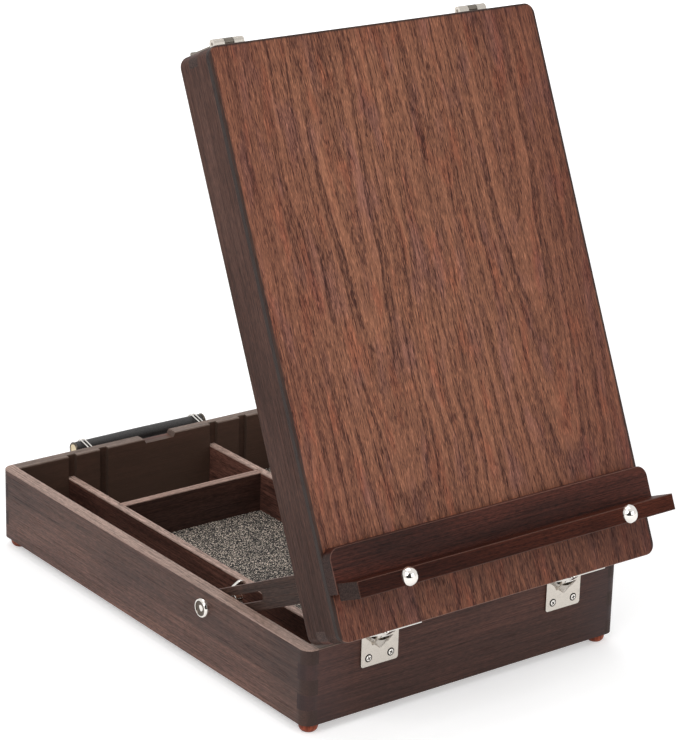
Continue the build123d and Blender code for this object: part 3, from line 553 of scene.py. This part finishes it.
# %% [markdown]
# ## Bright metal
# Plates, screws and bolts are plated steel: a smooth mirror on the turned
# pieces, and a softer, lightly brushed one on the pressed plates. Metal
# takes its look from what it reflects, so the finish only needs a little
# variation of roughness and a trace of tarnish here and there.

# %% Plated metal
def plated(name, tone, rough, brush):
    finish = Finish(name)
    coordinates = here(finish)
    cloud = noise(finish, stretched(finish, coordinates, (220, 220, 220)), 3.0, 0.6)
    lines = noise(finish, stretched(finish, coordinates, (300, 5000, 5000)), 2.0, 0.6)
    dull = between(finish, cloud, 0.45, 0.75)
    darker = tuple(channel * 0.72 for channel in tone)
    colour = blend(finish, dull * 0.25, tone, darker)
    roughness = rough + dull * 0.05 + (lines - 0.5) * brush
    normal = bumped(finish, lines, brush, 0.00003)
    inputs = {"Base Color": colour, "Metallic": 1.0, "Roughness": roughness, "Normal": normal}
    return finish.surface(principled(finish, inputs))


plate_metal = plated("plate_metal", paint(194, 187, 178), 0.22, 0.12)
mirror_metal = plated("mirror_metal", paint(226, 222, 216), 0.06, 0.03)
hasp_metal = plated("hasp_metal", paint(122, 115, 106), 0.12, 0.08)
dark_metal = plated("dark_metal", paint(92, 84, 76), 0.3, 0.1)
gold_metal = plated("gold_metal", paint(206, 190, 158), 0.2, 0.05)
brass = plated("insert_brass", paint(196, 160, 92), 0.25, 0.1)


def both_sides(*parts):
    """The names of the left and the right one of each part."""
    return [side + "_" + part for side in ("left", "right") for part in parts]


wear(both_sides("hinge_lower_leaf", "hinge_pin", "catch_plate", "latch_plate", "strut_washer",
                "handle_bracket", "handle_pin", "handle_loop"), plate_metal)
wear(both_sides("hasp", "hasp_pin"), hasp_metal)
wear(both_sides("strut_bolt", "wing_nut", "strut_pivot_screw", "hinge_upper_leaf") +
     ["ledge_bolts", "handle_grip_caps", "hinge_lower_screws", "hinge_upper_screws", "catch_screws",
      "latch_screws", "handle_bracket_screws", "box_feet", "handle_grip"], mirror_metal)
wear(["ledge_inserts"], brass)

# %% [markdown]
# ## Tools of the bench
# Most of the small hardware is turned or bent from wire, and both start as a
# line drawn point by point. Merging a small plane at its middle leaves one
# vertex, and each extrusion adds the next point. The line is then spun round
# an axis, or becomes a curve with a thickness. Every piece is made about the
# origin, and placed once it is finished.

# %% Draw a line, spin it, or bend a wire along it
def drawn_line(name, points, closed=False):
    """A line of edges through points given in millimetres. Leaves edit mode on, all selected."""
    bpy.ops.object.select_all(action="DESELECT")
    bpy.ops.mesh.primitive_plane_add(size=0.001)
    piece = bpy.context.object
    piece.name = name
    piece.data.name = name
    bpy.ops.object.mode_set(mode="EDIT")
    bpy.ops.mesh.select_all(action="SELECT")
    bpy.ops.mesh.merge(type="CENTER")
    bpy.ops.transform.translate(value=Vector(points[0]) * mm)
    for start, end in zip(points, points[1:]):
        step = (Vector(end) - Vector(start)) * mm
        bpy.ops.mesh.extrude_vertices_move(TRANSFORM_OT_translate={"value": step})
    bpy.ops.mesh.select_all(action="SELECT")
    if closed:
        bpy.ops.mesh.remove_doubles(threshold=0.00001)
    return piece


def turned(name, outline, steps=40):
    """A turned form about the Z axis, from its outline as pairs of radius and height."""
    piece = drawn_line(name, [(radius, 0, height) for radius, height in outline])
    bpy.ops.mesh.spin(steps=steps, angle=2 * pi, center=(0, 0, 0), axis=(0, 0, 1))
    bpy.ops.mesh.select_all(action="SELECT")
    bpy.ops.mesh.remove_doubles(threshold=0.000002)
    bpy.ops.mesh.normals_make_consistent(inside=False)
    bpy.ops.object.mode_set(mode="OBJECT")
    bpy.ops.object.shade_smooth_by_angle(angle=radians(35))
    return piece


def bent_wire(name, points, radius, closed=False):
    """A round wire that follows a drawn line."""
    piece = drawn_line(name, points + points[:1] if closed else points, closed)
    bpy.ops.object.mode_set(mode="OBJECT")
    bpy.ops.object.convert(target="CURVE")
    piece.data.bevel_depth = radius * mm
    piece.data.bevel_resolution = 3
    piece.data.use_fill_caps = True
    bpy.ops.object.convert(target="MESH")
    bpy.ops.object.shade_smooth_by_angle(angle=radians(50))
    return piece


def picked(piece):
    """Makes one piece the only selected and active one."""
    bpy.ops.object.select_all(action="DESELECT")
    piece.select_set(True)
    bpy.context.view_layer.objects.active = piece


def placed(piece, matrix):
    """Puts the place into the mesh, so that the object itself stays at the origin."""
    picked(piece)
    piece.matrix_world = matrix
    bpy.ops.object.transform_apply(location=True, rotation=True, scale=True)
    return piece


def repeated(pattern, matrices):
    """Copies of a pattern, one for each place, joined into one piece. The pattern goes."""
    copies = []
    for matrix in matrices:
        picked(pattern)
        bpy.ops.object.duplicate()
        copies.append(placed(bpy.context.object, matrix))
    name = pattern.name
    bpy.data.objects.remove(pattern)
    bpy.ops.object.select_all(action="DESELECT")
    for copy in copies:
        copy.select_set(True)
    bpy.context.view_layer.objects.active = copies[0]
    if len(copies) > 1:
        bpy.ops.object.join()
    joined = bpy.context.object
    joined.name = name
    joined.data.name = name
    return joined


def cut_away(piece, cutter):
    """Takes the form of a cutter out of a piece."""
    picked(piece)
    bpy.ops.object.modifier_add(type="BOOLEAN")
    change = piece.modifiers[-1]
    change.operation = "DIFFERENCE"
    change.solver = "EXACT"
    change.object = cutter
    bpy.ops.object.modifier_apply(modifier=change.name)
    bpy.data.objects.remove(cutter)
    bpy.ops.object.mode_set(mode="EDIT")
    bpy.ops.mesh.select_all(action="SELECT")
    bpy.ops.mesh.dissolve_degenerate(threshold=0.000004)
    bpy.ops.object.mode_set(mode="OBJECT")


def outward(place, direction, spin=0.0):
    """A place in millimetres, with the piece's Z turned to a direction."""
    turn = Vector(direction).to_track_quat("Z", "Y").to_matrix().to_4x4()
    return Matrix.Translation(Vector(place) * mm) @ turn @ Matrix.Rotation(spin, 4, "Z")


def finished(piece, body, replaced, material):
    """The last steps of every piece: its finish, its body and the nodes that it stands for."""
    if not len(piece.data.materials):
        for one in material if isinstance(material, list) else [material]:
            piece.data.materials.append(one)
    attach(piece, body)
    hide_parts(*replaced)
    print(piece.name, len(piece.data.polygons), "faces, rides on", body)


# %% [markdown]
# ## Cross-head screws
# The hinges, catches, latches and handle brackets are held by small
# cross-head screws. One is turned, with a dark ring round its crown that is a
# painted shadow where the plate's countersink shows, and a cross is cut into
# it with two bars, whose recess is painted dark as shade too.
# Its copies go to every screw place, each turned a little differently, as
# screws are once they are tight.

# %% One screw, copied to its places
# Painted shade: this dark metal lies on the ring round the crown and in the cross recess, where shade falls.
painted_shade_metal = plated("painted_shade_metal", paint(52, 48, 44), 0.4, 0.1)
crown_radius, recess_radius = 1.98 * mm, 1.8 * mm
recess_size = (0.0028, 0.00074, 0.0018)


def cross_head_screw(name):
    """A screw whose seat is at the origin, with its head towards +Z."""
    outline = [(0, -7.0), (0.9, -6.6), (1.3, -5.8), (1.3, -1.3), (2.3, -0.1), (2.85, -0.02),
               (2.85, 0.06), (2.1, 0.03), (1.95, 0.32), (1.4, 0.48), (0.7, 0.54), (0, 0.54)]
    screw = turned(name, outline, 28)
    for one in (mirror_metal, painted_shade_metal):
        screw.data.materials.append(one)
    # Painted shadow: the ring round the crown, where the countersink lies.
    for face in screw.data.polygons:
        if face.center.xy.length > crown_radius and face.center.z > -0.0002:
            face.material_index = 1
    for quarter in (0, pi / 2):
        bpy.ops.object.select_all(action="DESELECT")
        bpy.ops.mesh.primitive_cube_add(size=1, location=(0, 0, 0.0006))
        bar = bpy.context.object
        bpy.ops.object.mode_set(mode="EDIT")
        bpy.ops.transform.resize(value=recess_size)
        bpy.ops.object.mode_set(mode="OBJECT")
        placed(bar, Matrix.Rotation(quarter, 4, "Z") @ bar.matrix_world)
        cut_away(screw, bar)
    # Painted shade: the walls and floor of the cross recess.
    for face in screw.data.polygons:
        recess = abs(face.normal.z) < 0.3 or face.center.z < -0.0001
        if recess and face.center.xy.length < recess_radius and face.center.z > -0.0005:
            face.material_index = 1
    return screw


hinge_centres = (-74.9, 81.5)
latch_centres = (-96.5, 103.5)
loop_centres = (-48.1, 52.9)
turns = (0.3, 1.1, 0.7, 0.15)


def screw_row(name, centres, half_gap, y_seat, z_seat, direction, leaning=False):
    """Two screws on each plate."""
    places = []
    for number, x in enumerate([c + side * half_gap for c in centres for side in (-1, 1)]):
        place = outward((x, y_seat, z_seat), direction, turns[number])
        places.append(open_lid @ place if leaning else place)
    return repeated(cross_head_screw(name), places)


front, rear = (0, -1, 0), (0, 1, 0)
handle_z = 51.0
rows = (
    ("hinge_lower_screws", "box", "lower_hinge_screw_heads", hinge_centres, 9, -191.2, 44.65, front),
    ("hinge_upper_screws", "lid", "upper_hinge_screw_heads", hinge_centres, 9, -191.8, 79.85, front),
    ("catch_screws", "box", "catch_screw_heads", latch_centres, 7, 191.2, 44.4, rear),
    ("latch_screws", "lid", "latch_screw_heads", latch_centres, 6, 191.2, 74.1, rear),
    ("handle_bracket_screws", "box", "bracket_screw_heads", loop_centres, 8, 191.5, handle_z, rear),
)
for node_name, body, *layout in rows:
    row = screw_row(*layout, leaning=body == "lid")
    finished(row, body, [node_name], mirror_metal)

# %% [markdown]
# ## Bolts that show
# The clamp bolts have broad heads with a raised rim round a shallow dish,
# which catches a bright ring of light. The dish is part of the same outline,
# and the faces that lie inside the rim get the darker metal: a painted dark
# reflection.

# %% Clamp bolts
bolt_outline = [(0, -30.0), (2.6, -30.0), (3.0, -29.6), (3.0, 0.0), (7.0, 0.0), (7.0, 0.7), (6.8, 1.7),
                (6.4, 2.6), (6.0, 3.05), (5.6, 3.15), (5.2, 2.95), (4.9, 2.4), (3.6, 1.9), (2.2, 2.1),
                (1.0, 2.5), (0, 2.6)]
dish_inner, dish_outer = 2.4 * mm, 5.1 * mm
sides = (("left", -1), ("right", 1))
for side, x_sign in sides:
    seat = (x_sign * bolt_x, bolt_y, bolt_z)
    bolt = placed(turned(side + "_clamp_bolt", bolt_outline, 48), outward(seat, (x_sign, 0, 0)))
    finished(bolt, "box", [side + "_strut_bolt"], [mirror_metal, dark_metal])
    dish = 0
    # Painted dark reflection: the faces of the dish take the darker metal.
    for face in bolt.data.polygons:
        out = Vector(face.center) - Vector(seat) * mm
        if out.x * x_sign > 0 and dish_inner < (out.y ** 2 + out.z ** 2) ** 0.5 < dish_outer:
            face.material_index = 1
            dish += 1
    print(side, "dish faces", dish)

# %% [markdown]
# ## Wing nuts
# A wing nut is cast: a round hub with two wings that lean outwards and end
# in rounded ears. Each wing starts as a short cylinder lying across the hub,
# stretched into an ear. A voxel remesh wraps hub and ears in one skin and a
# little smoothing rounds every edge, as casting does. The bore comes last,
# so that it stays true.

# %% Wing nuts
ear_radius, ear_thickness = 0.0043, 0.0022
ear_out, ear_up = 8.2, 13.2
root_in, root_down = 4.4, 7.2
skin_step = 0.00028
nut_x = 116.1


def wing(side):
    """One ear of the nut, to one side of the hub, with the hub's axis along Z."""
    bpy.ops.object.select_all(action="DESELECT")
    bpy.ops.mesh.primitive_cylinder_add(vertices=28, radius=ear_radius, depth=ear_thickness,
                                        rotation=(pi / 2, 0, 0))
    ear = bpy.context.object
    middle = (side * ear_out * mm, 0, ear_up * mm)
    bpy.ops.object.transform_apply(location=False, rotation=True, scale=False)
    bpy.ops.object.mode_set(mode="EDIT")
    bpy.ops.mesh.select_all(action="SELECT")
    bpy.ops.transform.translate(value=middle)
    bpy.ops.mesh.select_all(action="DESELECT")
    bpy.ops.object.mode_set(mode="OBJECT")
    for vertex in ear.data.vertices:
        vertex.select = (Vector(vertex.co) - Vector(middle)).dot(Vector((side * 0.5, 0, 1))) < 0
    bpy.ops.object.mode_set(mode="EDIT")
    bpy.ops.transform.translate(value=(-side * root_in * mm, 0, -root_down * mm))
    bpy.ops.object.mode_set(mode="OBJECT")
    return ear


def wing_nut(name):
    nut = turned(name, [(0, 0), (5.6, 0), (5.6, 1.2), (5.1, 4.0), (4.7, 6.9), (4.3, 7.5), (0, 7.5)])
    ears = [wing(side) for side in (-1, 1)]
    picked(nut)
    for ear in ears:
        ear.select_set(True)
    bpy.ops.object.join()
    nut.data.remesh_voxel_size = skin_step
    bpy.ops.object.voxel_remesh()
    bpy.ops.object.modifier_add(type="SMOOTH")
    cast = nut.modifiers[-1]
    cast.factor = 0.5
    cast.iterations = 3
    bpy.ops.object.modifier_apply(modifier=cast.name)
    cut_away(nut, turned("bore", [(0, -1), (3.05, -1), (3.05, 9), (0, 9)]))
    picked(nut)
    bpy.ops.object.shade_smooth_by_angle(angle=radians(50))
    return nut


for side, x_sign in sides:
    seat = (x_sign * nut_x, bolt_y, bolt_z)
    nut = placed(wing_nut(side + "_wing_nut_cast"), outward(seat, (-x_sign, 0, 0), pi / 2))
    corners = [Vector(c) for c in nut.bound_box]
    size = [max(c[i] for c in corners) - min(c[i] for c in corners) for i in range(3)]
    print(side, "nut", [round(v * 1000, 1) for v in size])
    finished(nut, side + "_clamp_nut", [side + "_wing_nut"], mirror_metal)

# %% [markdown]
# ## Turned feet
# Four buttons of a redder wood carry the box. Each is turned with a narrow
# neck under the board and a rounded tread, so it is one outline, spun.

# %% Feet
foot_x, foot_y = 123.0, 180.5
foot_outline = [(0, 7.5), (5.6, 7.5), (5.6, 6.9), (5.3, 6.6), (5.9, 6.2), (6.4, 5.3), (6.5, 4.2),
                (6.3, 2.9), (5.7, 1.6), (4.8, 0.7), (3.6, 0.15), (2.6, 0), (0, 0)]
foot_places = [Matrix.Translation(Vector((x * foot_x, y * foot_y, 0)) * mm) for x in (-1, 1) for y in (-1, 1)]
feet = repeated(turned("turned_feet", foot_outline), foot_places)
foot_wood = stained_wood("foot_wood", paint(112, 50, 34), Matrix.Rotation(pi / 2, 3, "Y"),
                         warm=paint(150, 74, 50), fleck=0.1)
finished(feet, "box", ["box_feet"], foot_wood)

# %% [markdown]
# ## The handle
# The handle is a padded roll between two wire bails. Each bail is one wire
# bent into a long loop, round the pin on the box and round the roll, and
# there are two wires side by side. The drawn line is the hull of two
# circles, so each wire lies snug on both.

# %% Wire bails
pin_y, grip_y = 197.4, 213.5
pin_loop, grip_loop = 2.25, 6.0
wire_radius, half_wire_gap = 0.6, 1.5


def bail_line(x, near_radius, far_radius):
    """The loop of one wire in its plane: round the pin, and round the roll."""
    lean = atan2(far_radius - near_radius, grip_y - pin_y)
    points = []
    for step in range(13):
        turn = -(pi / 2 + lean) + (pi + 2 * lean) * step / 12
        points.append((x, grip_y + far_radius * cos(turn), handle_z + far_radius * sin(turn)))
    for step in range(9):
        turn = pi / 2 + lean + (pi - 2 * lean) * step / 8
        points.append((x, pin_y + near_radius * cos(turn), handle_z + near_radius * sin(turn)))
    return points


for side, centre in zip(("left", "right"), loop_centres):
    wires = []
    for offset in (-half_wire_gap, half_wire_gap):
        line = bail_line(centre + offset, pin_loop, grip_loop)
        wires.append(bent_wire(side + "_bail", line, wire_radius, True))
    picked(wires[0])
    wires[1].select_set(True)
    bpy.ops.object.join()
    bail = bpy.context.object
    bail.name = side + "_wire_bail"
    bail.data.name = bail.name
    finished(bail, "handle", [side + "_handle_loop"], mirror_metal)

# %% [markdown]
# ## The roll
# The roll is a soft core in a sleeve of black leather cloth. It swells a
# little between the bails and is pinched under them, and a sewn seam runs
# along its underside. A cylinder is cut into rings by bisecting it, and each
# ring is then drawn in or let out to the radius that the padding gives.

# %% Padded roll
roll_middle, roll_length = 2.4, 114.8
half_roll = roll_length / 2
ring_count = 58
core_radius = 0.004


def roll_radius(x):
    """How far the sleeve stands from the middle of the core, along the roll."""
    radius = 5.38
    for centre in loop_centres:
        radius -= 0.22 * max(0.0, 1 - abs(x - centre) / 4.0)
    for end in (roll_middle - half_roll, roll_middle + half_roll):
        radius -= 0.5 * max(0.0, 1 - abs(x - end) / 2.2) ** 2
    return radius + 0.12 * cos((x - roll_middle) * pi / 50.5)


bpy.ops.object.select_all(action="DESELECT")
bpy.ops.mesh.primitive_cylinder_add(vertices=48, radius=0.0055, depth=roll_length * mm,
                                    end_fill_type="TRIFAN")
roll = bpy.context.object
roll.name = "padded_roll"
roll.data.name = "padded_roll"
bpy.ops.object.mode_set(mode="EDIT")
bpy.ops.mesh.select_all(action="SELECT")
bpy.ops.transform.rotate(value=pi / 2, orient_axis="Y", center_override=(0, 0, 0))
bpy.ops.transform.translate(value=(roll_middle * mm, grip_y * mm, handle_z * mm))
for cut in range(1, ring_count):
    cut_x = roll_middle - half_roll + cut * roll_length / ring_count
    bpy.ops.mesh.select_all(action="SELECT")
    bpy.ops.mesh.bisect(plane_co=(cut_x * mm, 0, 0), plane_no=(1, 0, 0))
bpy.ops.object.mode_set(mode="OBJECT")
for vertex in roll.data.vertices:
    y, z = vertex.co.y - grip_y * mm, vertex.co.z - handle_z * mm
    distance = (y * y + z * z) ** 0.5
    if distance > core_radius:
        under = max(0.0, cos(atan2(y, -z)) - 0.985) / 0.015
        scale = (roll_radius(vertex.co.x / mm) - 0.35 * under) * mm / distance
        vertex.co.y = grip_y * mm + y * scale
        vertex.co.z = handle_z * mm + z * scale
picked(roll)
bpy.ops.object.shade_smooth_by_angle(angle=radians(50))


# %% [markdown]
# Leather cloth is black with a fine pebbled grain: cells of a Voronoi
# texture raise small cushions, and the valleys between them are duller, and
# darker by a painted shade.

# %% Leather cloth
def leather_cloth():
    finish = Finish("leather_cloth")
    coordinates = here(finish)
    cells = finish.node("TexVoronoi", {"feature": "SMOOTH_F1"}, {"Vector": coordinates, "Scale": 1400.0})
    cloud = noise(finish, stretched(finish, coordinates, (120, 260, 260)), 3.0, 0.6)
    pebble = between(finish, cells, 0.15, 0.75)
    # Painted shade: the valleys between the cushions are darker.
    colour = blend(finish, pebble * 0.6 + cloud * 0.4, paint(42, 38, 37), paint(20, 18, 18))
    normal = bumped(finish, 1 - pebble, 0.6, 0.00012)
    roughness = 0.42 + pebble * 0.2 + (cloud - 0.5) * 0.15
    inputs = {"Base Color": colour, "Roughness": roughness, "Normal": normal}
    return finish.surface(principled(finish, inputs))


finished(roll, "handle", ["handle_grip"], leather_cloth())

# %% [markdown]
# The sleeve is closed with a running stitch of waxed thread: short, slightly
# raised loops in a row, made once and copied along the seam.

# %% Seam stitches
stitch_line = [(-0.85, 0, -0.1), (-0.5, 0, 0.16), (0, 0, 0.24), (0.5, 0, 0.16), (0.85, 0, -0.1)]
seam_start, stitch_step, stitch_count = -55.5, 3.0, 38
half_bail, seam_sink = 3.5, 0.28
upside_down = Matrix.Rotation(pi, 4, "X")
stitch_places = []
for number in range(stitch_count):
    x = roll_middle + seam_start + number * stitch_step
    if min(abs(x - centre) for centre in loop_centres) > half_bail:
        spot = Vector((x, grip_y, handle_z - roll_radius(x) + seam_sink))
        stitch_places.append(Matrix.Translation(spot * mm) @ upside_down)
stitches = repeated(bent_wire("seam_stitches", stitch_line, 0.2), stitch_places)
thread = Finish("waxed_thread")
thread_place = here(thread)
twist = noise(thread, stretched(thread, thread_place, (2500, 900, 900)), 2.0, 0.6)
thread_colour = blend(thread, twist, paint(30, 28, 27), paint(64, 60, 57))
thread_inputs = {"Base Color": thread_colour, "Roughness": 0.5 + twist * 0.2,
                 "Normal": bumped(thread, twist, 0.5, 0.0001)}
stitches.data.materials.clear()
stitches.data.materials.append(thread.surface(principled(thread, thread_inputs)))
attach(stitches, "handle")

# %% [markdown]
# Each end of the roll has a pressed cap: a dark rolled ring round a bright,
# slightly hollow disc.

# %% End caps
cap_outline = [(0, 0), (5.2, 0), (5.5, 0.3), (5.5, 1.1), (5.1, 1.55), (4.5, 1.6), (4.0, 1.3), (3.6, 0.95),
               (2.0, 0.85), (0, 0.85)]
disc_radius = 3.9 * mm
cap_places = [outward((roll_middle + side * half_roll, grip_y, handle_z), (side, 0, 0)) for side in (-1, 1)]
caps = repeated(turned("pressed_end_caps", cap_outline), cap_places)
finished(caps, "handle", ["handle_grip_caps"], [gold_metal, dark_metal])
ring = 0
for face in caps.data.polygons:
    away = ((face.center.y - grip_y * mm) ** 2 + (face.center.z - handle_z * mm) ** 2) ** 0.5
    if away > disc_radius:
        face.material_index = 1
        ring += 1
print("dark ring faces", ring)

# %% [markdown]
# ## Studio
# The box stands on a pale floor under soft light. The background is white
# because the floor and the surroundings are white to the camera and in
# reflections, while what they shed on the wood stays at a plain level.

# %% Floor
def rays_that_look(finish):
    """Rays from the camera, off a mirror and through glass, and 1 for any one of the three."""
    names = ("Is Camera Ray", "Is Glossy Ray", "Is Transmission Ray")
    seen, mirrored, through = [finish.node("LightPath", {}, {}, output=name) for name in names]
    any_of_them = finish.node("Math", {"operation": "MINIMUM"}, {0: seen + mirrored + through, 1: 1.0})
    return seen, mirrored, through, any_of_them


bpy.ops.object.select_all(action="DESELECT")
bpy.ops.mesh.primitive_plane_add(size=12)
floor = bpy.context.object
floor.name = "studio_floor"
floor_finish = Finish("studio_floor")
floor_place = here(floor_finish)
mottle = noise(floor_finish, stretched(floor_finish, floor_place, (30, 30, 30)), 2.0, 0.5)
floor_colour = blend(floor_finish, mottle, (0.80, 0.80, 0.80), (0.83, 0.83, 0.83))
plain = floor_finish.node("BsdfDiffuse", {}, {"Color": floor_colour})
distance = floor_finish.node("VectorMath", {"operation": "LENGTH"}, {0: floor_place}, output="Value")
near_ring, far_ring = 1.0, 2.4
far = between(floor_finish, distance, near_ring, far_ring)
glow_colour = blend(floor_finish, far, (0.42, 0.42, 0.42), (1, 1, 1))
glow = floor_finish.node("Emission", {}, {"Color": glow_colour, "Strength": 1.0})
lit = floor_finish.node("AddShader", {}, {0: plain, 1: glow})
white = rays_that_look(floor_finish)[3]
floor_shader = floor_finish.node("MixShader", {}, {0: white, 1: plain, 2: lit})
floor.data.materials.append(floor_finish.surface(floor_shader))

# %% [markdown]
# The sky of the studio is white where it is looked at, and dimmer as a
# source of light. Low in front of the box, mirrors see a dark wall in it,
# which gives the bright metal its contrast.

# %% Surroundings
world = bpy.data.worlds.new("studio")
bpy.context.scene.world = world
air = Finish("studio", world)
direction = here(air, "Generated")
seen, mirrored, through, looked_at = rays_that_look(air)
to_dark_wall = Vector((-0.35, -0.90, 0.26)).normalized()
ahead = dot(air, direction, to_dark_wall)
darker_wall = between(air, ahead, 0.70, 0.88)
reflected = 1 - darker_wall * 0.95
strength = seen + (mirrored + through) * reflected + (1 - looked_at) * 0.5
sky = air.node("Background", {}, {"Color": (1, 1, 1), "Strength": strength})
world_output = air.tree.nodes.new("ShaderNodeOutputWorld")
air.tree.links.new(sky.socket, world_output.inputs["Surface"])


# %% Lamps
def soft_lamp(name, place, target, size, power):
    """A square lamp that faces a point."""
    data = bpy.data.lights.new(name, "AREA")
    data.shape = "SQUARE"
    data.size = size
    data.energy = power
    lamp = bpy.data.objects.new(name, data)
    bpy.context.scene.collection.objects.link(lamp)
    facing = (Vector(target) - Vector(place)).to_track_quat("-Z", "Y")
    lamp.matrix_world = Matrix.Translation(Vector(place)) @ facing.to_matrix().to_4x4()
    print("lamp", name, power, "W")


soft_lamp("key", (-1.6, -1.0, 1.7), (0, -0.05, 0.15), 1.2, 26)
soft_lamp("front", (0.5, -2.2, 1.0), (0, -0.05, 0.2), 1.4, 12)
soft_lamp("top", (0.1, 0.3, 2.2), (0, 0, 0.1), 1.4, 14)

bpy.context.scene.view_settings.view_transform = "Standard"
